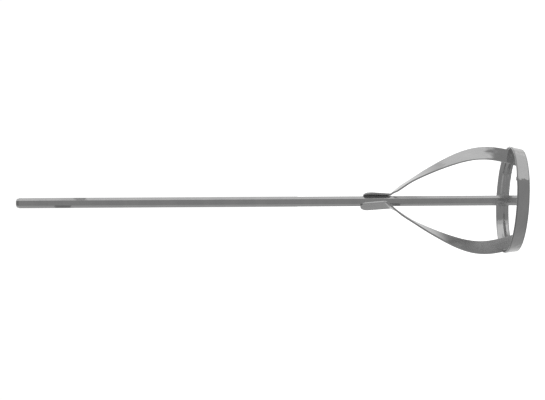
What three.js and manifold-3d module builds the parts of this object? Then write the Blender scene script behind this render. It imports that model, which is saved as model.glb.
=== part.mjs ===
// Mortar mixing paddle: a hexagonal bar, two twisted strip blades and a flat ring, all welded together.
// Millimetres, +Z up. The paddle stands on its ring: the bar's axis is the Z axis, and z = 0 is the
// lowest point of the ring. Blade A swings out towards +X and blade B is the same blade turned half
// a turn about the bar.
import * as THREE from "three";
import { mergeVertices } from "three/addons/utils/BufferGeometryUtils.js";
import Module from "manifold-3d";

const wasm = await Module();
wasm.setup();

const deg = THREE.MathUtils.degToRad;

// ---- Driving dimensions ----

const GAP = 0.3; // clearance between pieces that touch on the real tool

const BAR_ACROSS_FLATS = 10; // standard shank for a drill chuck
const BAR_TOP_Z = 568.7;
const BAR_BEVEL = 1.1; // taken off each flat at the shank end
const BAR_BEVEL_LENGTH = 2.8;
const BAR_FOOT_CHAMFER = 0.6;
const GRIP_LENGTH = 60; // a drill chuck holds this much of the shank

const RING_TOP_RADIUS = 60.3; // outside, at the rim that faces the shank
const RING_BOTTOM_RADIUS = 57.6; // outside, at the free rim
const RING_HEIGHT = 14.4; // width of the ring's strip
const RING_THICKNESS = 2;
const RING_LEAN = deg(3); // the ring is welded on slightly out of square, low on the +X side
const RING_SEGMENTS = 96;

const BLADE_WIDTH = 16;
const BLADE_THICKNESS = 2;
const BLADE_END_ABOVE_RIM = 3; // the blades stop this far above the ring's free rim

const TAB_FACE = deg(30); // direction, from +X towards +Y, of the bar's flat that carries blade A's tab
const TAB_TIP_Z = { a: 178.7, b: 181.7 }; // blade A was welded on with the shorter tab
const TAB_SKEW = deg(8); // the tab runs this far off the bar's direction
const FOLD_Z = 150.9; // where the tab's centre line meets the fold
const FOLD_SHIFT = 2.7; // sideways place of that point on the flat
const FOLD_SLANT = deg(26.6); // the fold line is this far off square to the bar
const FOLD_ANGLE = deg(43);
const FOLD_RADIUS = 5; // bend radius at the middle of the strip

// Blade A after the fold, in four knots from the tab down: height, distance out along +X, and how far the
// strip runs outwards for each millimetre down. The third is its widest place.
const BOW = [
  { height: 141, out: 11.2, slope: 0.73 },
  { height: 94, out: 38.4, slope: 0.47 },
  { height: 43, out: 53.2, slope: 0 },
  { height: -4, out: 43, slope: -0.33 },
];
// Its distance along +Y, and its turn about its own length in degrees (0 lies across the XZ plane, 90 lies
// in it), each ease from one value to another between two heights.
const SIDE = { from: 7.9, to: -7.5, start: 140, end: -4 };
const TURN = { from: 3, to: 71, start: 145, end: 12 };
const STATIONS = 11;
const TIP_STEPS = 8;
const TIP_FIRST = deg(8); // the round end starts with a short flat, this far round its arc
const FOLD_STEPS = 6;
const ARM_STEPS = 60;

// Tab beads: out and aside place the bead's middle from the bar's corner direction.
const TAB_WELD = { radius: 2.2, length: 16, z: 166, out: 6.27, aside: 1.2 };
// Beads between blade and ring, in the ring's own frame: height of the bead's middle, how far it stands
// inside the bore, and its azimuth past +X (blade A) or -X (blade B).
const RING_WELD = { length: 12, height: 9.4 };
const WRAP_WELD = { radius: 3.2, inset: 1.5, azimuth: deg(-3.9) }; // fills the space beyond blade A's edge
const CORNER_WELDS = { radius: 2.4, inset: 0.6, left: deg(-2.4), right: deg(-6.6) }; // both faces of blade B
const SEAM_WELD = { radius: 4.8, length: 14.4, flatten: 0.33, overRim: 0.9, azimuth: deg(-67) };
const BEAD_STEPS = 6;
const BEAD_SEGMENTS = 16;

const BAR_CORNER_RADIUS = BAR_ACROSS_FLATS / 2 / Math.cos(deg(30));
const RING_LIFT = RING_BOTTOM_RADIUS * Math.sin(RING_LEAN); // height of the ring's lower centre
const RING_TAPER = (RING_TOP_RADIUS - RING_BOTTOM_RADIUS) / RING_HEIGHT;

// ---- Materials ----

const zincPlate = { color: 0x9a9b9c, roughness: 0.38, metalness: 0.9 };
const steel = new THREE.MeshStandardMaterial(zincPlate);
const stripSteel = new THREE.MeshStandardMaterial({ ...zincPlate, roughness: 0.32 });
const weldMetal = new THREE.MeshStandardMaterial({ color: 0x7f8081, roughness: 0.5, metalness: 0.85 });

// ---- Helpers ----

function meshOf(name, geometry, material) {
  const mesh = new THREE.Mesh(geometry, material);
  mesh.name = name;
  return mesh;
}

// A turned solid about Z from [radius, height] points. Six segments make a hexagon with corners at +-X.
function turned(points, segments) {
  const profile = points.map(([r, z]) => new THREE.Vector2(r, z));
  return new THREE.LatheGeometry(profile, segments, deg(30)).rotateX(Math.PI / 2);
}

function toManifold(geometry) {
  const bare = geometry.clone();
  bare.deleteAttribute("normal");
  bare.deleteAttribute("uv");
  const merged = mergeVertices(bare, 1e-4);
  const vertProperties = merged.attributes.position.array;
  const triVerts = new Uint32Array(merged.index.array);
  return new wasm.Manifold(new wasm.Mesh({ numProp: 3, vertProperties, triVerts }));
}

function fromManifold(solid) {
  const mesh = solid.getMesh();
  const geometry = new THREE.BufferGeometry();
  geometry.setAttribute("position", new THREE.BufferAttribute(mesh.vertProperties, 3));
  geometry.setIndex(new THREE.BufferAttribute(mesh.triVerts, 1));
  geometry.computeVertexNormals();
  return geometry;
}

// Moves a geometry from the ring's own frame, square to the ring, to the paddle's frame.
function leanWithRing(geometry) {
  return geometry.rotateY(RING_LEAN).translate(0, 0, RING_LIFT);
}

// ---- Bar ----

// The flats are split below the grip, so that the stretch in the chuck has plain faces of its own.
function barGeometry(grow = 0) {
  const corner = BAR_CORNER_RADIUS + grow;
  const foot = RING_LIFT;
  const bevel = BAR_BEVEL / Math.cos(deg(30));
  const points = [
    [0, foot],
    [corner - BAR_FOOT_CHAMFER, foot],
    [corner, foot + BAR_FOOT_CHAMFER],
    [corner, BAR_TOP_Z - GRIP_LENGTH],
    [corner, BAR_TOP_Z - BAR_BEVEL_LENGTH],
    [corner - bevel, BAR_TOP_Z],
    [0, BAR_TOP_Z],
  ];
  return turned(points, 6);
}

// ---- Ring ----

function ringGeometry(grow = 0) {
  const inside = RING_THICKNESS + grow;
  const low = -grow;
  const high = RING_HEIGHT + grow;
  const points = [
    [RING_BOTTOM_RADIUS - inside, low],
    [RING_BOTTOM_RADIUS + grow, low],
    [RING_TOP_RADIUS + grow, high],
    [RING_TOP_RADIUS - inside, high],
    [RING_BOTTOM_RADIUS - inside, low],
  ];
  return leanWithRing(turned(points, RING_SEGMENTS));
}

// Everything that a blade may not enter: the ring with its gap, all outside it, and the space below
// the blades' ends.
function ringKeepOut() {
  const bore = (z) => RING_BOTTOM_RADIUS + RING_TAPER * z - RING_THICKNESS - GAP;
  const far = 2 * RING_TOP_RADIUS;
  const top = RING_HEIGHT + GAP;
  const points = [
    [0, -far],
    [far, -far],
    [far, top],
    [bore(top), top],
    [bore(BLADE_END_ABOVE_RIM), BLADE_END_ABOVE_RIM],
    [0, BLADE_END_ABOVE_RIM],
  ];
  return toManifold(leanWithRing(turned(points, RING_SEGMENTS)));
}

// ---- Blades ----
// A blade is a strip ruled between its two long edges. Each ruling has a middle and a half vector that
// points from the middle to the outer edge.

const faceNormal = new THREE.Vector3(Math.cos(TAB_FACE), Math.sin(TAB_FACE), 0);
const acrossFace = new THREE.Vector3(-Math.sin(TAB_FACE), Math.cos(TAB_FACE), 0);
const down = new THREE.Vector3(0, 0, -1);

const tabDirection = down.clone().applyAxisAngle(faceNormal, TAB_SKEW);
const tabAcross = acrossFace.clone().applyAxisAngle(faceNormal, TAB_SKEW);
const foldLine = acrossFace.clone().applyAxisAngle(faceNormal, FOLD_SLANT);
const tabPlane = BAR_ACROSS_FLATS / 2 + GAP + BLADE_THICKNESS / 2;
const foldPoint = faceNormal.clone().multiplyScalar(tabPlane).addScaledVector(acrossFace, FOLD_SHIFT);
foldPoint.z = FOLD_Z;

// The round end and straight run of the tab, up to the slanted ruling where the fold starts.
function tabRulings(tipZ) {
  const rulings = [];
  const radius = BLADE_WIDTH / 2;
  const tip = foldPoint.clone().addScaledVector(tabDirection, (FOLD_Z - tipZ) / Math.cos(TAB_SKEW));
  for (let i = 0; i <= TIP_STEPS; i++) {
    const angle = THREE.MathUtils.lerp(TIP_FIRST, deg(90), i / TIP_STEPS);
    const middle = tip.clone().addScaledVector(tabDirection, radius * (1 - Math.cos(angle)));
    rulings.push({ middle, half: tabAcross.clone().multiplyScalar(radius * Math.sin(angle)) });
  }
  rulings.push(foldStart());
  return rulings;
}

// Half a fold ruling: long enough to reach the strip's edges although it runs at a slant.
function foldHalf() {
  return foldLine.clone().multiplyScalar(BLADE_WIDTH / 2 / foldLine.dot(tabAcross));
}

function foldStart() {
  const back = -FOLD_RADIUS * Math.tan(FOLD_ANGLE / 2);
  return { middle: foldPoint.clone().addScaledVector(tabDirection, back), half: foldHalf() };
}

// The bend: the start ruling swung about an axis parallel to the fold line, on the outer side.
function foldRulings() {
  const { middle, half } = foldStart();
  const centre = middle.clone().addScaledVector(faceNormal, FOLD_RADIUS);
  const rulings = [];
  for (let i = 1; i <= FOLD_STEPS; i++) {
    const swing = (-FOLD_ANGLE * i) / FOLD_STEPS;
    const arm = middle.clone().sub(centre).applyAxisAngle(foldLine, swing);
    rulings.push({ middle: centre.clone().add(arm), half: half.clone() });
  }
  return rulings;
}

function stationHeight(i) {
  return BOW[0].height + ((BOW.at(-1).height - BOW[0].height) * i) / (STATIONS - 1);
}

function eased({ from, to, start, end }, height) {
  return from + (to - from) * THREE.MathUtils.smoothstep(start - height, 0, start - end);
}

// Distance out at a height: a cubic with the given slopes between the knots on either side of it.
function bowOut(height) {
  const next = Math.max(1, BOW.findIndex((knot) => knot.height <= height));
  const upper = BOW[next - 1];
  const lower = BOW[next];
  const drop = upper.height - lower.height;
  const x = (upper.height - height) / drop;
  const leaving = (upper.out * (1 + 2 * x) + upper.slope * drop * x) * (1 - x) ** 2;
  const arriving = (lower.out * (3 - 2 * x) - lower.slope * drop * (1 - x)) * x ** 2;
  return leaving + arriving;
}

// Middle and half vector at one station of the bow, square to the line through its neighbours.
function stationRuling(i) {
  const at = (k) => {
    const height = stationHeight(k);
    return new THREE.Vector3(bowOut(height), eased(SIDE, height), height);
  };
  const along = at(Math.min(i + 1, STATIONS - 1)).sub(at(Math.max(i - 1, 0))).normalize();
  const flat = new THREE.Vector3(0, 1, 0).projectOnPlane(along).normalize();
  const turn = deg(eased(TURN, stationHeight(i)));
  const half = flat.applyAxisAngle(along, turn).multiplyScalar(BLADE_WIDTH / 2);
  return { middle: at(i), half };
}

// Smooth edges through the end of the fold and every station, ruled at equal steps.
function armRulings(start) {
  const stations = [start, ...Array.from({ length: STATIONS }, (_, i) => stationRuling(i))];
  const edge = (sign) =>
    new THREE.CatmullRomCurve3(stations.map((s) => s.middle.clone().addScaledVector(s.half, sign)));
  const outer = edge(1);
  const inner = edge(-1);
  const rulings = [];
  for (let i = 1; i <= ARM_STEPS; i++) {
    const a = outer.getPoint(i / ARM_STEPS);
    const b = inner.getPoint(i / ARM_STEPS);
    rulings.push({ middle: a.clone().add(b).divideScalar(2), half: a.sub(b).divideScalar(2) });
  }
  return rulings;
}

function bladeRulings(tipZ) {
  const rulings = [...tabRulings(tipZ), ...foldRulings()];
  rulings.push(...armRulings(rulings.at(-1)));
  rulings.forEach((ruling, i) => {
    const before = rulings[Math.max(i - 1, 0)].middle;
    const after = rulings[Math.min(i + 1, rulings.length - 1)].middle;
    const along = after.clone().sub(before);
    ruling.normal = new THREE.Vector3().crossVectors(along, ruling.half).normalize();
  });
  return rulings;
}

// A box one unit long for each ruling, its vertices carried onto the ruled strip.
function stripGeometry(blade, grow = 0) {
  const rulings = bladeRulings(blade.tipZ);
  const steps = rulings.length - 1;
  const geometry = new THREE.BoxGeometry(2, 2, steps, 2, 1, steps);
  const position = geometry.attributes.position;
  const widen = 1 + (2 * grow) / BLADE_WIDTH;
  for (let i = 0; i < position.count; i++) {
    const ruling = rulings[Math.round(position.getZ(i) + steps / 2)];
    const offset = position.getY(i) * (BLADE_THICKNESS / 2 + grow);
    const place = ruling.middle.clone().addScaledVector(ruling.half, position.getX(i) * widen);
    place.addScaledVector(ruling.normal, offset);
    position.setXYZ(i, place.x, place.y, place.z);
  }
  return geometry.rotateZ(blade.turn);
}

function bladeGeometry(blade) {
  return fromManifold(toManifold(stripGeometry(blade)).subtract(ringKeepOut()));
}

// ---- Welds ----

// A round-ended bead along Z, its middle at the origin.
function beadGeometry({ radius, length }) {
  const straight = length / 2 - radius;
  const points = [];
  for (let i = 0; i <= BEAD_STEPS; i++) {
    const angle = deg(90) * (i / BEAD_STEPS - 1);
    points.push([i ? radius * Math.cos(angle) : 0, radius * Math.sin(angle) - straight]);
  }
  const upperEnd = points.map(([r, z]) => [r, -z]).reverse();
  return turned([...points, ...upperEnd], BEAD_SEGMENTS);
}

// A bead in the groove between a tab and the next flat of the bar, on the side away from -Y.
function tabWeld(blade, side) {
  const azimuth = TAB_FACE + side * deg(30) + blade.turn;
  const bead = beadGeometry(TAB_WELD).translate(TAB_WELD.out, side * TAB_WELD.aside, TAB_WELD.z);
  const gapOnCorner = GAP / Math.cos(deg(30));
  return fromManifold(
    toManifold(bead.rotateZ(azimuth))
      .subtract(toManifold(stripGeometry(blade, GAP)))
      .subtract(toManifold(barGeometry(gapOnCorner))),
  );
}

// Lays a bead along the ring's bore at a height and azimuth, both in the ring's own frame.
function onBore(bead, inset, height, azimuth) {
  const bore = RING_BOTTOM_RADIUS - RING_THICKNESS + RING_TAPER * height;
  bead.rotateY(Math.atan(RING_TAPER)).translate(bore - inset, 0, height);
  return toManifold(leanWithRing(bead.rotateZ(azimuth))).subtract(toManifold(ringGeometry(GAP)));
}

function ringWeld(blade, { radius, inset }, azimuth) {
  const bead = beadGeometry({ radius, length: RING_WELD.length });
  const onRing = onBore(bead, inset, RING_WELD.height, blade.turn + azimuth);
  return fromManifold(onRing.subtract(toManifold(stripGeometry(blade, GAP))));
}

// The seam where the ring's two ends were joined: a flat bead on the bore that stands over one rim.
function seamWeld() {
  const height = RING_HEIGHT + SEAM_WELD.overRim - SEAM_WELD.length / 2;
  const bead = beadGeometry(SEAM_WELD).scale(SEAM_WELD.flatten, 1, 1);
  return fromManifold(onBore(bead, 0, height, SEAM_WELD.azimuth));
}

// ---- Assembly ----

const bladeA = { turn: 0, tipZ: TAB_TIP_Z.a };
const bladeB = { turn: Math.PI, tipZ: TAB_TIP_Z.b };

const paddle = new THREE.Group();
paddle.add(meshOf("shaft", barGeometry(), steel));
paddle.add(meshOf("blade_a", bladeGeometry(bladeA), stripSteel));
paddle.add(meshOf("blade_b", bladeGeometry(bladeB), stripSteel));
paddle.add(meshOf("ring", ringGeometry(), stripSteel));
paddle.add(meshOf("weld_tab_a", tabWeld(bladeA, 1), weldMetal));
paddle.add(meshOf("weld_tab_b", tabWeld(bladeB, -1), weldMetal));
paddle.add(meshOf("weld_ring_a", ringWeld(bladeA, WRAP_WELD, WRAP_WELD.azimuth), weldMetal));
for (const face of ["left", "right"])
  paddle.add(
    meshOf(`weld_ring_b_${face}`, ringWeld(bladeB, CORNER_WELDS, CORNER_WELDS[face]), weldMetal),
  );
paddle.add(meshOf("weld_ring_seam", seamWeld(), weldMetal));

export default paddle;
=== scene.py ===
"""Mortar mixing paddle: a hexagonal bar, two twisted strip blades and a flat ring, zinc plated and welded.

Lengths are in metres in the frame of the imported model: the bar's axis is Z and the paddle stands on its
ring. Blade A swings out towards +X and blade B is the same blade turned half a turn about the bar.
"""

import math
import random

import bmesh
import bpy
import numpy as np
from mathutils import Matrix, Vector, noise


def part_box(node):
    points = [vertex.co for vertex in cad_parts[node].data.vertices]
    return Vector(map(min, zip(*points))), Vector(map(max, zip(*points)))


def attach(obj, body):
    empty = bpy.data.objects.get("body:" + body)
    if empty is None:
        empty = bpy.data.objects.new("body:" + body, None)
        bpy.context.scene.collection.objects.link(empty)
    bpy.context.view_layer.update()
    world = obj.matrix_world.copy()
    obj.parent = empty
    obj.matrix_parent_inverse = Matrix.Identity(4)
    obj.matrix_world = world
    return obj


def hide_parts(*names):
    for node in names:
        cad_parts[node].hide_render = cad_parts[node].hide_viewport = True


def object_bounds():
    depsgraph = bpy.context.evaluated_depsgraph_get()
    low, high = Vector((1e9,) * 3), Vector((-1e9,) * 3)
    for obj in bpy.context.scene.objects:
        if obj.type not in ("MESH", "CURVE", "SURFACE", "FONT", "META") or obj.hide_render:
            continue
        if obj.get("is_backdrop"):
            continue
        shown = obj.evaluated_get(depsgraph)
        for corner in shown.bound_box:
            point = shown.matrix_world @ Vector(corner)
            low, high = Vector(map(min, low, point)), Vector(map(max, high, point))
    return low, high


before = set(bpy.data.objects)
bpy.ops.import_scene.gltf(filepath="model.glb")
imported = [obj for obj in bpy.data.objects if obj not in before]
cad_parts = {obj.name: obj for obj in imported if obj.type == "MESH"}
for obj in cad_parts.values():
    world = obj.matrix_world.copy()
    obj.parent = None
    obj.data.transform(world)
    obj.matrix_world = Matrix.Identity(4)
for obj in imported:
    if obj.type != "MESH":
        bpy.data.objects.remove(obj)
cad_low, cad_high = (tuple(corner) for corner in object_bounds())

MM = 0.001
GAP = 0.3 * MM  # clearance between pieces that touch on the real tool

# ---- Dimensions of the bar ----
bar_low, bar_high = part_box("shaft")
BAR_CORNER = bar_high.x  # from the axis to a corner of the hexagon
BAR_EDGE_RADIUS = 0.7 * MM
HEXAGON_HALF = math.radians(30)  # from a corner of the hexagon to the middle of a flat
BAR_STEPS = 48
# Distance below the top and how far each flat has drawn in, in millimetres.
BAR_END = [(3.6, 0), (3.3, 0.03), (3.0, 0.1), (0.5, 0.76), (0.2, 0.88), (0.05, 1.03), (0, 1.25)]
# Height above the foot and how far each flat has drawn in, in millimetres.
BAR_FOOT = [(0, 0.8), (0.08, 0.5), (0.5, 0.06), (0.9, 0)]

# ---- Dimensions of the ring ----
RING_LEAN = math.radians(3)
RING_HEIGHT = 14.4 * MM
RING_THICKNESS = 2 * MM
RING_EDGE_RADIUS = 0.9 * MM
RING_TOP_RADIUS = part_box("ring")[1].y
RING_NARROWING = 2.7 * MM
RING_BOTTOM_RADIUS = RING_TOP_RADIUS - RING_NARROWING
RING_LIFT = RING_BOTTOM_RADIUS * math.sin(RING_LEAN)
RING_TAPER = (RING_TOP_RADIUS - RING_BOTTOM_RADIUS) / RING_HEIGHT
SEAM_AZIMUTH = math.radians(-67)
SEAM_PEAK, SEAM_PEAK_REACH = 0.25 * MM, 5 * MM  # how proud the joined ends stand, and how far along
SEAM_RISE, SEAM_RISE_REACH = 0.35 * MM, 6 * MM  # how much the upper rim rises there
# The wall's waves: their depth, their size across the strip, and the noise's radius round the ring.
RING_WOBBLE, WOBBLE_HEIGHT, WOBBLES = 0.1 * MM, 9 * MM, 3.2
RING_STEPS = 288

# ---- Dimensions of the blades ----
BLADE_WIDTH = 16 * MM
BLADE_THICKNESS = 2 * MM
BLADE_EDGE_RADIUS = 0.4 * MM
BLADE_END_ABOVE_RIM = 3 * MM
TAB_TIP = {"a": 178.7 * MM, "b": 181.7 * MM}  # blade A was welded on with the shorter tab
TAB_FACE = math.radians(30)
TAB_SKEW = math.radians(8)
FOLD_HEIGHT = 150.9 * MM
FOLD_SHIFT = 2.7 * MM
FOLD_SLANT = math.radians(26.6)
FOLD_ANGLE = math.radians(43)
FOLD_RADIUS = 5 * MM
# Blade A after the fold, in four knots from the tab down, in millimetres: height, distance out along +X,
# and how far the strip runs outwards for each millimetre down. The third is its widest place.
BOW = [(141, 11.2, 0.73), (94, 38.4, 0.47), (43, 53.2, 0), (-4, 43, -0.33)]
# Its distance along +Y in millimetres and its turn in degrees, each easing from one value to another
# between two heights: from, to, start, end.
SIDE = (7.9, -7.5, 140, -4)
TURN = (3, 71, 145, 12)
STATIONS = 11
ROUND_END_STEPS = 14
ROUND_END_FIRST = 0.03  # the round end starts with a short flat, this share round its arc
END_DRAW_IN = 0.3 * MM  # how far the strip's cut end is eased
FLAT_EDGE = 4  # the section's point where the rounding meets the flat
FACE_SPREAD = 3  # the two faces lie this many thicknesses apart in the material

Z = Vector((0, 0, 1))


# ---- Mesh helpers ----


def add_piece(name, bm, node, material):
    """Turns a bmesh into a smooth object that stands for one CAD node."""
    bmesh.ops.remove_doubles(bm, verts=bm.verts, dist=1e-7)
    bmesh.ops.recalc_face_normals(bm, faces=bm.faces)
    mesh = bpy.data.meshes.new(name)
    bm.to_mesh(mesh)
    bm.free()
    mesh.shade_smooth()
    piece = bpy.data.objects.new(name, mesh)
    bpy.context.scene.collection.objects.link(piece)
    mesh.materials.append(material)
    piece.modifiers.new("even_shading", "WEIGHTED_NORMAL").weight = 60
    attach(piece, "root")
    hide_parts(node)
    return piece


def skin(sections, coords=None, closed=False):
    """A bmesh from rings of points, each joined to the next. coords gives every point its place on the
    unrolled strip for the material; closed joins the last ring to the first."""
    bm = bmesh.new()
    layer = bm.verts.layers.float_vector.new("strip")
    rows = []
    for i, section in enumerate(sections):
        row = [bm.verts.new(p) for p in section]
        for k, vert in enumerate(row):
            vert[layer] = coords[i][k] if coords else section[k]
        rows.append(row)
    pairs = list(zip(rows, rows[1:]))
    if closed:
        pairs.append((rows[-1], rows[0]))
    for upper, lower in pairs:
        for k in range(len(upper)):
            bm.faces.new((upper[k - 1], upper[k], lower[k], lower[k - 1]))
    if not closed:
        bm.faces.new(rows[0])
        bm.faces.new(reversed(rows[-1]))
    return bm


def with_ring(point):
    """Carries a point from the ring's own frame, square to the ring, to the paddle's frame."""
    turned = Matrix.Rotation(RING_LEAN, 3, "Y") @ point
    return turned + Z * RING_LIFT


def strip_section(thickness, radius, across=8, corner=4):
    """Points round a strip's section as (side, inset, height): side runs from -1 to 1 across the flat,
    inset is how far the outline has drawn in from the strip's edge, height is above its middle plane."""
    half = thickness / 2

    def rounding(side, sign, share):
        angle = math.radians(90) * share
        return side, radius * (1 - math.cos(angle)), sign * (half - radius + radius * math.sin(angle))

    points = []
    for sign in (1, -1):
        points += [rounding(sign, sign, k / corner) for k in range(corner + 1)]
        points += [(sign * (1 - 2 * k / across), radius, sign * half) for k in range(1, across)]
        points += [rounding(-sign, sign, 1 - k / corner) for k in range(corner + 1)]
    return points


# ---- Materials ----

# Scales are in features per metre along each of a piece's three material coordinates.
CLOUD_SCALE = (45, 90, 90)
GRAIN_SCALE = (1400, 1400, 1400)
FINE_HEIGHT = 0.004 * MM
FINE_STRENGTH = 0.5
GRAIN_SHARE = 0.4
CLOUD_TONE, STREAK_TONE = 0.02, 0.012  # how much clouds and streaks lighten or darken the plate
ROUGH_CLOUD, GLOSSY_CLOUD = 0.14, 0.09  # roughness of the dullest and the glossiest cloud
ROUGH_STREAK, GLOSSY_STREAK = 0.02, -0.01  # what a streak adds to it
# A mark is a chuck scuff on the bar or painted shade on the bar and ring.
MARK_TONE, MARK_ROUGHNESS = 0.5, 0.15  # what a full mark multiplies the tone by and adds to the roughness
COOL_TINT, WARM_TINT = (0.98, 0.985, 0.995, 1.0), (0.995, 0.99, 0.98, 1.0)

# Side of the bar (+1 or -1 along X), lowest and highest place, depth of tone.
BAR_SCUFFS_AND_PAINTED_SHADE = [
    (1, bar_high.z - 0.079, bar_high.z - 0.064, 0.8),
    (1, bar_high.z - 0.066, bar_high.z - 0.049, 0.3),
    (-1, bar_high.z - 0.062, bar_high.z - 0.043, 1.0),
    # The last is painted shade: the lower flats darkened just below the fold of blade B, where the blade
    # shades the bar.
    (-1, 0.1365, 0.1475, 1.15),
]
MARK_EDGE_SCALE = (300, 300, 300)
MARK_EDGE_SHIFT = 3 * MM  # how far the noise moves a mark's ends up or down
MARK_FADE_IN = 1 * MM
MARK_FADE_OUT_BEFORE, MARK_FADE_OUT_AFTER = 4 * MM, 2 * MM
MARK_FLAT_STARTS, MARK_FLAT_FULL = 2.5 * MM, 3.2 * MM  # distance from the middle of the bar along X

# How far the ring's inner face is moved across the strip in its material, to tell it from the outer one.
INSIDE_SHIFT = 0.05
GROOVE_SCALE = (14, 14, 260)
GROOVE_DEPTH = 1.5
# Painted shade along both rims of the ring's outer face: where it starts and is full, how dark it gets,
# and where it fades.
EDGE_SHADE_STARTS, EDGE_SHADE_FULL = 1.8 * MM, 0.9 * MM  # distance from the strip's edge
UPPER_EDGE_SHADE, LOWER_EDGE_SHADE = 0.9, 0.7
UPPER_SHADE_FADES, UPPER_SHADE_GONE = 2.7 * MM, 5.7 * MM  # further across, round to the inner face


def node(tree, kind, inputs=None, **settings):
    """A shader node; an input is a value or another node's output socket."""
    made = tree.nodes.new(kind)
    for key, value in settings.items():
        setattr(made, key, value)
    for key, value in (inputs or {}).items():
        if isinstance(value, bpy.types.NodeSocket):
            tree.links.new(value, made.inputs[key])
        else:
            made.inputs[key].default_value = value
    return made


def stretched_noise(tree, coords, scale, detail=2.0, roughness=0.5, distortion=0.0):
    """Noise with its own scale, in features per metre, along each of the three coordinates."""
    placed = node(tree, "ShaderNodeMapping", {"Vector": coords, "Scale": scale})
    settings = {"Scale": 1.0, "Detail": detail, "Roughness": roughness, "Distortion": distortion}
    return node(tree, "ShaderNodeTexNoise", {"Vector": placed.outputs[0], **settings}).outputs[0]


def ramp(tree, value, low, high, to_low, to_high, smooth=True):
    """Maps a value from one range to another, held at both ends."""
    kind = "SMOOTHSTEP" if smooth else "LINEAR"
    limits = {"Value": value, "From Min": low, "From Max": high, "To Min": to_low, "To Max": to_high}
    return node(tree, "ShaderNodeMapRange", limits, interpolation_type=kind).outputs[0]


def mixed(tree, kind, a, b):
    return node(tree, "ShaderNodeMath", {0: a, 1: b}, operation=kind).outputs[0]


def plated_steel(name, wave_scale, wave_height, streak_scale, wave_detail=1.2, tone=0.62, dull=0.0,
                 darkening=None, relief=None):
    """Zinc plate over drawn or rolled steel: shallow waves and fine streaks along the grain, with cloudy
    differences in brightness and gloss. The darkening function may return a mask of scuffed places and
    painted shade, and relief(tree, coords, waves) another height in place of the waves."""
    material = bpy.data.materials.new(name)
    material.use_nodes = True
    tree = material.node_tree
    shader = tree.nodes["Principled BSDF"]
    shader.inputs["Metallic"].default_value = 1.0
    coords = node(tree, "ShaderNodeAttribute", attribute_name="strip").outputs["Vector"]
    waves = stretched_noise(tree, coords, wave_scale, detail=wave_detail)
    if relief:
        waves = relief(tree, coords, waves)
    streaks = stretched_noise(tree, coords, streak_scale, detail=3.0, roughness=0.6)
    clouds = stretched_noise(tree, coords, CLOUD_SCALE, detail=4.0, roughness=0.6, distortion=0.4)
    grain = stretched_noise(tree, coords, GRAIN_SCALE, detail=2.0)

    bright = ramp(tree, clouds, 0.32, 0.68, tone - CLOUD_TONE, tone + CLOUD_TONE)
    bright = mixed(tree, "ADD", bright, ramp(tree, streaks, 0.3, 0.7, -STREAK_TONE, STREAK_TONE))
    roughness = ramp(tree, clouds, 0.3, 0.7, ROUGH_CLOUD + dull, GLOSSY_CLOUD + dull)
    streaked = ramp(tree, streaks, 0.35, 0.65, ROUGH_STREAK, GLOSSY_STREAK)
    roughness = mixed(tree, "ADD", roughness, streaked)
    if darkening:
        mask = darkening(tree, coords)
        bright = mixed(tree, "MULTIPLY", bright, ramp(tree, mask, 0, 1, 1.0, MARK_TONE))
        roughness = mixed(tree, "ADD", roughness, ramp(tree, mask, 0, 1, 0.0, MARK_ROUGHNESS))
    tint = {"A": COOL_TINT, "B": WARM_TINT, "Factor": clouds}
    tints = node(tree, "ShaderNodeMix", data_type="RGBA")
    for socket in tints.inputs:
        if socket.enabled and socket.name in tint:
            value = tint[socket.name]
            if isinstance(value, tuple):
                socket.default_value = value
            else:
                tree.links.new(value, socket)
    colour = next(socket for socket in tints.outputs if socket.enabled)
    shaded = node(tree, "ShaderNodeVectorMath", {0: colour}, operation="SCALE")
    tree.links.new(bright, shaded.inputs["Scale"])
    tree.links.new(shaded.outputs[0], shader.inputs["Base Color"])
    tree.links.new(roughness, shader.inputs["Roughness"])

    broad = node(tree, "ShaderNodeBump", {"Height": waves, "Strength": 1.0, "Distance": wave_height})
    fine_height = mixed(tree, "ADD", streaks, mixed(tree, "MULTIPLY", grain, GRAIN_SHARE))
    fine = {"Height": fine_height, "Strength": FINE_STRENGTH, "Distance": FINE_HEIGHT}
    fine["Normal"] = broad.outputs[0]
    tree.links.new(node(tree, "ShaderNodeBump", fine).outputs[0], shader.inputs["Normal"])
    return material


def bar_scuffs_and_painted_shade(tree, coords):
    """Scuffs left by a chuck's jaws near the shank's end, and painted shade on the lower flats below the
    fold of
    blade B: each lies on the flats of one side, in one stretch of the bar."""
    parts = node(tree, "ShaderNodeSeparateXYZ", {"Vector": coords})
    height, side = parts.outputs[2], parts.outputs[0]
    edges = stretched_noise(tree, coords, MARK_EDGE_SCALE)
    ragged = mixed(tree, "ADD", height, ramp(tree, edges, 0, 1, -MARK_EDGE_SHIFT, MARK_EDGE_SHIFT))
    darkening = None
    for sign, low, high, depth in BAR_SCUFFS_AND_PAINTED_SHADE:
        above = ramp(tree, ragged, low - MARK_FADE_IN, low + MARK_FADE_IN, 0, depth)
        below = ramp(tree, ragged, high - MARK_FADE_OUT_BEFORE, high + MARK_FADE_OUT_AFTER, 1, 0)
        inside = mixed(tree, "MULTIPLY", above, below)
        flat = ramp(tree, mixed(tree, "MULTIPLY", side, sign), MARK_FLAT_STARTS, MARK_FLAT_FULL, 0, 1)
        patch = mixed(tree, "MULTIPLY", inside, flat)
        darkening = patch if darkening is None else mixed(tree, "MAXIMUM", darkening, patch)
    return darkening


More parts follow.
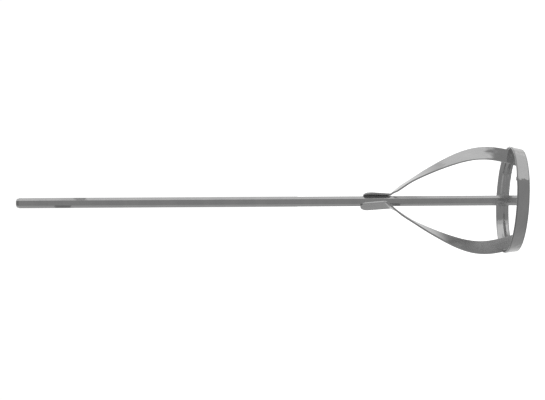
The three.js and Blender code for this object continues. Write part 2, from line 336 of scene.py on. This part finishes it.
def grooved_inside(tree, coords, waves):
    """Waves on the outside of the ring's strip and grooves, rolled along it, on the inside."""
    grooves = stretched_noise(tree, coords, GROOVE_SCALE, detail=1.0)
    grooves = mixed(tree, "MULTIPLY", grooves, GROOVE_DEPTH)
    place = node(tree, "ShaderNodeSeparateXYZ", {"Vector": coords}).outputs[2]
    inside = ramp(tree, place, INSIDE_SHIFT * 0.6, INSIDE_SHIFT * 0.8, 0, 1)
    outside = mixed(tree, "SUBTRACT", 1.0, inside)
    grooved = mixed(tree, "MULTIPLY", grooves, inside)
    waved = mixed(tree, "MULTIPLY", waves, outside)
    return mixed(tree, "ADD", grooved, waved)


def painted_edge_shade(tree, coords):
    """Painted shade: dark lines along both edges of the ring's outer face."""
    across = node(tree, "ShaderNodeSeparateXYZ", {"Vector": coords}).outputs[2]
    starts, full = RING_HEIGHT / 2 - EDGE_SHADE_STARTS, RING_HEIGHT / 2 - EDGE_SHADE_FULL
    upper = ramp(tree, across, starts, full, 0, UPPER_EDGE_SHADE)
    fading = ramp(tree, across, full + UPPER_SHADE_FADES, full + UPPER_SHADE_GONE, 1, 0)
    lower = ramp(tree, across, -full, -starts, LOWER_EDGE_SHADE, 0)
    return mixed(tree, "MAXIMUM", mixed(tree, "MULTIPLY", upper, fading), lower)


bar_steel = plated_steel("zinc_plated_bar", (260, 260, 14), 0.02 * MM, (2200, 2200, 30),
                         dull=0.08, darkening=bar_scuffs_and_painted_shade)
blade_steel = {
    "a": plated_steel("zinc_plated_strip_a", (70, 110, 110), 0.5 * MM, (90, 2400, 2400)),
    "b": plated_steel("zinc_plated_strip_b", (40, 60, 60), 0.25 * MM, (90, 2400, 2400), dull=0.12),
}
ring_steel = plated_steel("zinc_plated_ring", (150, 150, 260), 0.45 * MM, (90, 90, 2400),
                          darkening=painted_edge_shade, relief=grooved_inside)
weld_steel = plated_steel("zinc_plated_weld", (500, 500, 500), 0.1 * MM, (900, 900, 900),
                          tone=0.5, dull=0.2)


# ---- Building the bar ----


def bar_section(height, shrink):
    """A hexagon with rounded corners, corners at +-X, as a ring of points at one height."""
    flats = BAR_CORNER * math.cos(HEXAGON_HALF)
    scale = (flats - shrink) / flats
    centre = BAR_CORNER - BAR_EDGE_RADIUS / math.cos(HEXAGON_HALF)
    section = []
    for k in range(6):
        azimuth = math.radians(60) * k
        arc = []
        for step in range(-3, 4):
            angle = azimuth + math.radians(10) * step
            x = centre * math.cos(azimuth) + BAR_EDGE_RADIUS * math.cos(angle)
            y = centre * math.sin(azimuth) + BAR_EDGE_RADIUS * math.sin(angle)
            arc.append(Vector((x * scale, y * scale, height)))
        if section:
            section += [section[-1].lerp(arc[0], share) for share in (0.25, 0.5, 0.75)]
        section += arc
    section += [section[-1].lerp(section[0], share) for share in (0.25, 0.5, 0.75)]
    return section


def add_bar():
    foot, top = bar_low.z, bar_high.z
    stations = [(foot + z * MM, shrink * MM) for z, shrink in BAR_FOOT]
    plain_low, plain_high = stations[-1][0], top - BAR_END[0][0] * MM
    stations += [(plain_low + (plain_high - plain_low) * k / BAR_STEPS, 0) for k in range(1, BAR_STEPS)]
    stations += [(top - z * MM, shrink * MM) for z, shrink in BAR_END]
    add_piece("bar", skin([bar_section(z, shrink) for z, shrink in stations]), "shaft", bar_steel)


# ---- Building the ring ----


def ring_point(azimuth, height, inwards):
    """A point of the ring's wall: height above its free rim, inwards from its outer face. The wall is a
    little wavy and stands proud where the strip's ends meet."""
    from_seam = (azimuth - SEAM_AZIMUTH + math.pi) % (2 * math.pi) - math.pi
    along = abs(from_seam) * RING_TOP_RADIUS
    peak = SEAM_PEAK * math.exp(-((along / SEAM_PEAK_REACH) ** 2))
    around = Vector((math.cos(azimuth), math.sin(azimuth), 0)) * WOBBLES
    wobble = RING_WOBBLE * noise.noise(around + Vector((0, 0, height / WOBBLE_HEIGHT)))
    rise = SEAM_RISE * math.exp(-((along / SEAM_RISE_REACH) ** 2)) * max(0, 2 * height / RING_HEIGHT - 1)
    radius = RING_BOTTOM_RADIUS + RING_TAPER * height - inwards + peak + wobble
    return with_ring(Vector((radius * math.cos(azimuth), radius * math.sin(azimuth), height + rise)))


def add_ring():
    section = strip_section(RING_THICKNESS, RING_EDGE_RADIUS)
    sections, coords = [], []
    for i in range(RING_STEPS):
        azimuth = SEAM_AZIMUTH + 2 * math.pi * (i + 0.5) / RING_STEPS
        points, places = [], []
        for side, inset, up in section:
            across = side * (RING_HEIGHT / 2 - inset)
            inwards = RING_THICKNESS / 2 - up
            points.append(ring_point(azimuth, RING_HEIGHT / 2 + across, inwards))
            around = Vector((math.cos(azimuth), math.sin(azimuth), 0)) * RING_TOP_RADIUS
            places.append(around + Z * (across + INSIDE_SHIFT * inwards / RING_THICKNESS))
        sections.append(points)
        coords.append(places)
    return add_piece("ring_strip", skin(sections, coords, closed=True), "ring", ring_steel)


# ---- Building the blades ----
# A blade is a strip ruled between its two long edges. A ruling is (middle, half): half points from the
# middle to the outer edge.

face_normal = Vector((math.cos(TAB_FACE), math.sin(TAB_FACE), 0))
across_face = Vector((-math.sin(TAB_FACE), math.cos(TAB_FACE), 0))
tab_turn = Matrix.Rotation(TAB_SKEW, 3, face_normal)
tab_direction = tab_turn @ -Z
tab_across = tab_turn @ across_face
fold_line = Matrix.Rotation(FOLD_SLANT, 3, face_normal) @ across_face
tab_plane = bar_high.y + GAP + BLADE_THICKNESS / 2
fold_point = face_normal * tab_plane + across_face * FOLD_SHIFT + Z * FOLD_HEIGHT


def fold_start():
    back = FOLD_RADIUS * math.tan(FOLD_ANGLE / 2)
    return fold_point - tab_direction * back, fold_line * (BLADE_WIDTH / 2 / fold_line.dot(tab_across))


def tab_rulings(tip_height):
    """The straight run of the tab below its round end."""
    end = fold_start()
    radius = BLADE_WIDTH / 2
    tip = fold_point + tab_direction * ((FOLD_HEIGHT - tip_height) / math.cos(TAB_SKEW))
    start = (tip + tab_direction * radius, tab_across * radius)
    steps = 6
    rulings = [tuple(a.lerp(b, k / steps) for a, b in zip(start, end)) for k in range(steps + 1)]
    return rulings


def fold_rulings():
    middle, half = fold_start()
    centre = middle + face_normal * FOLD_RADIUS
    steps = 12
    turns = [Matrix.Rotation(-FOLD_ANGLE * k / steps, 3, fold_line) for k in range(1, steps + 1)]
    return [(centre + turn @ (middle - centre), half.copy()) for turn in turns]


def station_height(i):
    return BOW[0][0] + (BOW[-1][0] - BOW[0][0]) * i / (STATIONS - 1)


def eased(change, height):
    before, after, start, end = change
    x = min(1, max(0, (start - height) / (start - end)))
    return before + (after - before) * x * x * (3 - 2 * x)


def bow_out(height):
    """Distance out at a height: a cubic with the given slopes between the knots on either side of it."""
    upper, lower = next(pair for pair in zip(BOW, BOW[1:]) if pair[1][0] <= height)
    drop = upper[0] - lower[0]
    x = (upper[0] - height) / drop
    leaving = (upper[1] * (1 + 2 * x) + upper[2] * drop * x) * (1 - x) ** 2
    arriving = (lower[1] * (3 - 2 * x) - lower[2] * drop * (1 - x)) * x**2
    return leaving + arriving


def station_ruling(i):
    """Middle and half vector at one station of the bow, square to the line through its neighbours."""

    def at(k):
        height = station_height(k)
        return Vector((bow_out(height), eased(SIDE, height), height)) * MM

    along = (at(min(i + 1, STATIONS - 1)) - at(max(i - 1, 0))).normalized()
    flat = Vector((0, 1, 0))
    flat = (flat - along * flat.dot(along)).normalized()
    turn = math.radians(eased(TURN, station_height(i)))
    return at(i), Matrix.Rotation(turn, 3, along) @ flat * (BLADE_WIDTH / 2)


def spline(knots, values, start_slope):
    """A cubic spline through rows of points, with a given slope at its start and none of it bent at its
    end. Returns a function of the parameter."""
    x, y = np.array(knots), np.array(values)
    step = np.diff(x)
    rise = np.diff(y, axis=0) / step[:, None]
    count = len(x)
    matrix, right = np.zeros((count, count)), np.zeros_like(y)
    matrix[0, :2] = 2 * step[0], step[0]
    right[0] = 6 * (rise[0] - np.array(start_slope))
    matrix[-1, -1] = 1
    for i in range(1, count - 1):
        matrix[i, i - 1 : i + 2] = step[i - 1], 2 * (step[i - 1] + step[i]), step[i]
        right[i] = 6 * (rise[i] - rise[i - 1])
    bend = np.linalg.solve(matrix, right)

    def at(t):
        i = int(np.clip(np.searchsorted(x, t) - 1, 0, count - 2))
        a, b, h = x[i + 1] - t, t - x[i], step[i]
        curved = (bend[i] * a**3 + bend[i + 1] * b**3) / (6 * h)
        straight = (y[i] / h - bend[i] * h / 6) * a + (y[i + 1] / h - bend[i + 1] * h / 6) * b
        return Vector(curved + straight)

    return at


def height_in_ring(point, turn):
    """Height of a point of a blade, once it is turned, above the ring's free rim in the ring's frame."""
    local = Matrix.Rotation(-RING_LEAN, 3, "Y") @ (Matrix.Rotation(turn, 3, "Z") @ point - Z * RING_LIFT)
    return local.z


def arm_rulings(start, turn):
    """The bowed and twisted run, from the fold to the end inside the ring."""
    stations = [start] + [station_ruling(i) for i in range(STATIONS)]
    knots = [0.0]
    for (before, _), (after, _) in zip(stations, stations[1:]):
        knots.append(knots[-1] + (after - before).length)
    leaving = Matrix.Rotation(-FOLD_ANGLE, 3, fold_line) @ tab_direction
    edges = [spline(knots, [m + h * sign for m, h in stations], leaving) for sign in (1, -1)]
    samples = np.linspace(knots[-3], knots[-1], 60)
    ends = []
    for edge in edges:
        heights = [-height_in_ring(edge(t), turn) for t in samples]
        ends.append(float(np.interp(-BLADE_END_ABOVE_RIM, heights, samples)))
    rulings = []
    steps = 150
    for k in range(1, steps + 1):
        share = k / steps
        outer, inner = (
            edge(share * (knots[-1] + (end - knots[-1]) * share**4)) for edge, end in zip(edges, ends)
        )
        rulings.append(((outer + inner) / 2, (outer - inner) / 2))
    return rulings


def clear_of_ring(point):
    """Presses a point that would enter the ring's wall back inside the bore."""
    local = Matrix.Rotation(-RING_LEAN, 3, "Y") @ (point - Z * RING_LIFT)
    if not -MM < local.z < RING_HEIGHT + MM:
        return point
    bore = RING_BOTTOM_RADIUS + RING_TAPER * local.z - RING_THICKNESS - GAP / 2
    radius = math.hypot(local.x, local.y)
    if radius <= bore:
        return point
    return with_ring(Vector((local.x * bore / radius, local.y * bore / radius, local.z)))


def round_end_section(tip_height, section, angle):
    """Points of the tab's round end: the section swung round the end's centre by an angle."""
    tip = fold_point + tab_direction * ((FOLD_HEIGHT - tip_height) / math.cos(TAB_SKEW))
    centre = tip + tab_direction * (BLADE_WIDTH / 2)
    points = []
    for side, inset, up in section:
        radius = BLADE_WIDTH / 2 - inset
        aside = tab_across * (side * radius * math.sin(angle))
        upwards = tab_direction * (radius * math.cos(angle))
        points.append(centre + aside - upwards + face_normal * up)
    return points


def ruled_section(rulings, i, section, draw_in=0.0):
    middle, half = rulings[i]
    along = rulings[min(i + 1, len(rulings) - 1)][0] - rulings[max(i - 1, 0)][0]
    normal = along.cross(half).normalized()
    points = []
    for side, inset, up in section:
        share = 1 - (inset + draw_in) / (BLADE_WIDTH / 2)
        points.append(middle + half * (side * share) + normal * up * (1 - draw_in / BLADE_THICKNESS))
    return points


def add_blade(letter, turn, tip_height):
    section = strip_section(BLADE_THICKNESS, BLADE_EDGE_RADIUS)
    rulings = tab_rulings(tip_height) + fold_rulings()
    rulings += arm_rulings(rulings[-1], turn)
    steps = ROUND_END_STEPS
    swept = 1 - ROUND_END_FIRST
    angles = [math.radians(90) * (ROUND_END_FIRST + swept * k / steps) for k in range(steps)]
    sections = [round_end_section(tip_height, section, angle) for angle in angles]
    sections += [ruled_section(rulings, i, section) for i in range(len(rulings))]
    sections.append(ruled_section(rulings, len(rulings) - 1, section, draw_in=END_DRAW_IN))
    turned = Matrix.Rotation(turn, 3, "Z")
    sections = [[clear_of_ring(turned @ point) for point in row] for row in sections]
    coords, along = [], 0.0
    for i, row in enumerate(sections):
        angle = angles[i] if i < steps else math.radians(90)
        if i > steps:
            along += (row[FLAT_EDGE] - sections[i - 1][FLAT_EDGE]).length
        place = []
        for side, inset, up in section:
            radius = BLADE_WIDTH / 2 - inset
            back = radius * math.cos(angle)
            through = up * FACE_SPREAD + turn / 10  # a different stretch of noise for each blade
            place.append(Vector((along - back, side * radius * math.sin(angle), through)))
        coords.append(place)
    blade = skin(sections, coords)
    add_piece(f"blade_{letter}_strip", blade, f"blade_{letter}", blade_steel[letter])


# ---- Welds ----

BEAD_STEPS, BEAD_AROUND = 56, 28
BEAD_PITCH = 1.7 * MM  # from one ripple to the next
BEAD_END = 0.15  # the outermost rings stand this share of a step inside the bead's ends
RIPPLE, RIPPLE_MIDDLE = 0.05, 0.6  # how much a ripple swells the bead, and the swell that leaves it as is
RIPPLE_BOW = 0.25 * MM
ROUGHNESS, ROUGHNESS_SIZE = 0.05, 1.3 * MM
NOISE_REACH = 50  # each bead takes its roughness from its own place in the noise

TAB_WELD_RADIUS, TAB_WELD_LENGTH = 2.2 * MM, 16 * MM
TAB_WELD_OUT, TAB_WELD_ASIDE, TAB_WELD_HEIGHT = 6.27 * MM, 1.2 * MM, 166 * MM
RING_WELD_LENGTH, RING_WELD_HEIGHT = 12 * MM, 9.4 * MM
WRAP_RADIUS, WRAP_INSET, WRAP_AZIMUTH = 3.2 * MM, 1.5 * MM, math.radians(-3.9)
CORNER_RADIUS, CORNER_INSET = 2.4 * MM, 0.6 * MM
CORNER_AZIMUTH = {"left": math.radians(-2.4), "right": math.radians(-6.6)}
SEAM_RADIUS, SEAM_LENGTH, SEAM_FLATTEN, SEAM_OVER_RIM = 4.8 * MM, 14.4 * MM, 0.33, 0.9 * MM


def add_weld(node_name, radius, length, place, flatten=1.0):
    """A bead laid in overlapping ripples along Z, carried into place by a function of a point."""
    random.seed(node_name)
    offset = Vector([random.uniform(-NOISE_REACH, NOISE_REACH) for _ in range(3)])
    sections = []
    for i in range(BEAD_STEPS + 1):
        share = 2 * (i + BEAD_END) / (BEAD_STEPS + 2 * BEAD_END) - 1
        height = share * length / 2
        end = max(0, abs(height) - (length / 2 - radius)) / radius
        size = radius * math.sqrt(max(0.0, 1 - end**2))
        size *= 1 + RIPPLE * (abs(math.sin(math.pi * height / BEAD_PITCH)) - RIPPLE_MIDDLE)
        row = []
        for k in range(BEAD_AROUND):
            angle = 2 * math.pi * k / BEAD_AROUND
            point = Vector((math.cos(angle) * flatten, math.sin(angle), 0)) * size + Z * height
            rough = 1 + ROUGHNESS * noise.noise(point / ROUGHNESS_SIZE + offset)
            point.x *= rough
            point.y *= rough
            point.z += RIPPLE_BOW * math.sin(angle) ** 2 * math.cos(2 * math.pi * height / BEAD_PITCH)
            row.append(point)
        sections.append(row)
    placed = [[place(point) for point in row] for row in sections]
    add_piece(f"{node_name}_bead", skin(placed, sections), node_name, weld_steel)


def on_bore(inset, height, azimuth):
    """Places a bead along the ring's bore, at a height and azimuth in the ring's own frame."""
    bore = RING_BOTTOM_RADIUS - RING_THICKNESS + RING_TAPER * height
    lean = Matrix.Rotation(math.atan(RING_TAPER), 3, "Y")
    spin = Matrix.Rotation(azimuth, 3, "Z")
    return lambda point: with_ring(spin @ (lean @ point + Vector((bore - inset, 0, height))))


def beside_tab(turn, side):
    """Places a bead in the groove between a tab and the next flat of the bar."""
    spin = Matrix.Rotation(TAB_FACE + side * HEXAGON_HALF + turn, 3, "Z")
    middle = Vector((TAB_WELD_OUT, side * TAB_WELD_ASIDE, TAB_WELD_HEIGHT))
    return lambda point: spin @ (point + middle)


def add_welds():
    add_weld("weld_tab_a", TAB_WELD_RADIUS, TAB_WELD_LENGTH, beside_tab(0, 1))
    add_weld("weld_tab_b", TAB_WELD_RADIUS, TAB_WELD_LENGTH, beside_tab(math.pi, -1))
    wrap = on_bore(WRAP_INSET, RING_WELD_HEIGHT, WRAP_AZIMUTH)
    add_weld("weld_ring_a", WRAP_RADIUS, RING_WELD_LENGTH, wrap)
    for face, azimuth in CORNER_AZIMUTH.items():
        corner = on_bore(CORNER_INSET, RING_WELD_HEIGHT, math.pi + azimuth)
        add_weld(f"weld_ring_b_{face}", CORNER_RADIUS, RING_WELD_LENGTH, corner)
    seam = on_bore(0.0, RING_HEIGHT + SEAM_OVER_RIM - SEAM_LENGTH / 2, SEAM_AZIMUTH)
    add_weld("weld_ring_seam", SEAM_RADIUS, SEAM_LENGTH, seam, flatten=SEAM_FLATTEN)


# ---- Studio ----

# A soft box that lights only the ring, from the side and beyond the ring end.
SOFTBOX_PLACE = (2.6, 0.07, -1.5)
SOFTBOX_SIZE = (4.5, 1.7)
SOFTBOX_POWER = 9.3
# The studio: a dim room, lighter on the floor side (-X, which is lowest in the picture), a large light
# panel on the other side and a white wall behind, dimmer at its edge.
ROOM, FLOOR_SIDE, SIDE_PANEL, WALL_EDGE, BACK_WALL = 0.3, 0.4, 0.78, 0.6, 0.95
# Where each lies round the bar's axis, in degrees from -Y towards +X: level with the paddle, and beyond
# its ring end, where the panel doesn't reach.
STUDIO_LEVEL = [
    (-180, BACK_WALL), (-120, FLOOR_SIDE), (-60, ROOM), (50, ROOM),
    (56, SIDE_PANEL), (118, SIDE_PANEL), (122, WALL_EDGE), (180, BACK_WALL),
]
STUDIO_BEYOND = [
    (-180, BACK_WALL), (-120, FLOOR_SIDE), (-60, ROOM), (128, ROOM),
    (135, WALL_EDGE), (180, BACK_WALL),
]
# Heights are the Z part of a direction of length 1.
BEYOND_STARTS, BEYOND_ENDS = -0.2, -0.32
# The shank end of the studio is dim: from and to which height, and down to what share.
SHANK_END_STARTS, SHANK_END_ENDS, SHANK_END_SHARE = 0.44, 0.6, 0.68
SEEN_WHITE = 1.05  # brightness of the backdrop to the camera

FLOOR_REACH = 12.0
FLOOR_DROP = 0.2 * MM  # how far the floor lies below the paddle
FLOOR_TONE, FLOOR_ROUGHNESS, FLOOR_GLOW = 0.9, 0.9, 0.95

LENS = 78.6  # focal length in millimetres, for the sensor's width
SENSOR_WIDTH = 36
CAMERA_ASIDE, CAMERA_DISTANCE = 2 * MM, 1340.5 * MM
CAMERA_BELOW_MIDDLE = 3.85 * MM
CAMERA_ROLL = 0.0057  # in radians; the bar isn't quite level in the picture


def add_floor():
    """A pale floor that glows enough to look white, and shows in no reflection."""
    bm = bmesh.new()
    corners = [(-1, -1), (1, -1), (1, 1), (-1, 1)]
    height = cad_low[2] - FLOOR_DROP
    bm.faces.new([bm.verts.new((x * FLOOR_REACH, y * FLOOR_REACH, height)) for x, y in corners])
    mesh = bpy.data.meshes.new("floor")
    bm.to_mesh(mesh)
    bm.free()
    floor = bpy.data.objects.new("floor", mesh)
    bpy.context.scene.collection.objects.link(floor)
    material = bpy.data.materials.new("pale_floor")
    material.use_nodes = True
    shader = material.node_tree.nodes["Principled BSDF"]
    shader.inputs["Base Color"].default_value = (FLOOR_TONE, FLOOR_TONE, FLOOR_TONE, 1)
    shader.inputs["Roughness"].default_value = FLOOR_ROUGHNESS
    shader.inputs["Emission Color"].default_value = (1, 1, 1, 1)
    shader.inputs["Emission Strength"].default_value = FLOOR_GLOW
    mesh.materials.append(material)
    floor.visible_glossy = False
    floor.visible_shadow = False
    floor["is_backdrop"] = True


def round_ramp(tree, place, brightness_list):
    """Brightness round the bar's axis, from pairs of degrees and brightness."""
    made = node(tree, "ShaderNodeValToRGB", {"Fac": place})
    stops = made.color_ramp.elements
    while len(stops) < len(brightness_list):
        stops.new(0.5)
    for stop, (degrees, brightness) in zip(stops, brightness_list):
        stop.position = (degrees + 180) / 360
        stop.color = (brightness, brightness, brightness, 1)
    return made.outputs[0]


def add_studio():
    """White to the camera; in reflections a dim room with a light panel at one side and a white wall
    behind. It is dimmer towards the shank end."""
    world = bpy.data.worlds.new("studio")
    bpy.context.scene.world = world
    world.use_nodes = True
    tree = world.node_tree
    tree.nodes.clear()
    direction = node(tree, "ShaderNodeTexCoord").outputs["Generated"]
    parts = node(tree, "ShaderNodeSeparateXYZ", {"Vector": direction})
    height = parts.outputs[2]
    backwards = mixed(tree, "MULTIPLY", parts.outputs[1], -1.0)
    round_bar = mixed(tree, "ARCTAN2", parts.outputs[0], backwards)
    place = ramp(tree, round_bar, -math.pi, math.pi, 0, 1, smooth=False)
    level = mixed(tree, "MULTIPLY", round_ramp(tree, place, STUDIO_LEVEL),
                  ramp(tree, height, BEYOND_ENDS, BEYOND_STARTS, 0, 1))
    beyond = mixed(tree, "MULTIPLY", round_ramp(tree, place, STUDIO_BEYOND),
                   ramp(tree, height, BEYOND_ENDS, BEYOND_STARTS, 1, 0))
    dimmed = ramp(tree, height, SHANK_END_STARTS, SHANK_END_ENDS, 1, SHANK_END_SHARE)
    studio = mixed(tree, "MULTIPLY", mixed(tree, "ADD", level, beyond), dimmed)
    seen = node(tree, "ShaderNodeBackground", {"Color": (1, 1, 1, 1), "Strength": SEEN_WHITE})
    lit = node(tree, "ShaderNodeBackground", {"Color": (1, 1, 1, 1), "Strength": studio})
    to_camera = node(tree, "ShaderNodeLightPath").outputs["Is Camera Ray"]
    both = node(tree, "ShaderNodeMixShader", {0: to_camera, 1: lit.outputs[0], 2: seen.outputs[0]})
    node(tree, "ShaderNodeOutputWorld", {"Surface": both.outputs[0]})


def add_softbox(name, place, target, size, power, receivers):
    """An area light aimed at a point, linked to the pieces that it lights."""
    light = bpy.data.lights.new(name, "AREA")
    light.shape = "RECTANGLE"
    light.size, light.size_y = size
    light.energy = power
    box = bpy.data.objects.new(name, light)
    box.location = place
    box.rotation_euler = (Vector(target) - Vector(place)).to_track_quat("-Z", "Y").to_euler()
    box.visible_camera = False
    bpy.context.scene.collection.objects.link(box)
    lit = bpy.data.collections.new(name + "_lights")
    for piece in receivers:
        lit.objects.link(piece)
    box.light_linking.receiver_collection = lit


def add_camera():
    """A level camera in front of the paddle, turned so that the bar lies across the picture."""
    data = bpy.data.cameras.new("camera")
    camera = bpy.data.objects.new("camera", data)
    data.sensor_width = SENSOR_WIDTH
    data.lens = LENS
    data.clip_start, data.clip_end = 0.05, 60
    right = Vector((-math.sin(CAMERA_ROLL), 0, -math.cos(CAMERA_ROLL)))
    up = Vector((math.cos(CAMERA_ROLL), 0, -math.sin(CAMERA_ROLL)))
    turn = Matrix((right, up, right.cross(up))).transposed()
    aim_height = (cad_low[2] + cad_high[2]) / 2 - CAMERA_BELOW_MIDDLE
    place = Vector((CAMERA_ASIDE, -CAMERA_DISTANCE, aim_height))
    camera.matrix_world = Matrix.Translation(place) @ turn.to_4x4()
    bpy.context.scene.collection.objects.link(camera)
    bpy.context.scene.camera = camera


add_bar()
ring = add_ring()
add_blade("a", 0.0, TAB_TIP["a"])
add_blade("b", math.pi, TAB_TIP["b"])
add_welds()
add_floor()
add_studio()
add_softbox("ring_softbox", SOFTBOX_PLACE, (0, 0, 0), SOFTBOX_SIZE, SOFTBOX_POWER, [ring])
add_camera()
bpy.context.scene.view_settings.view_transform = "Standard"
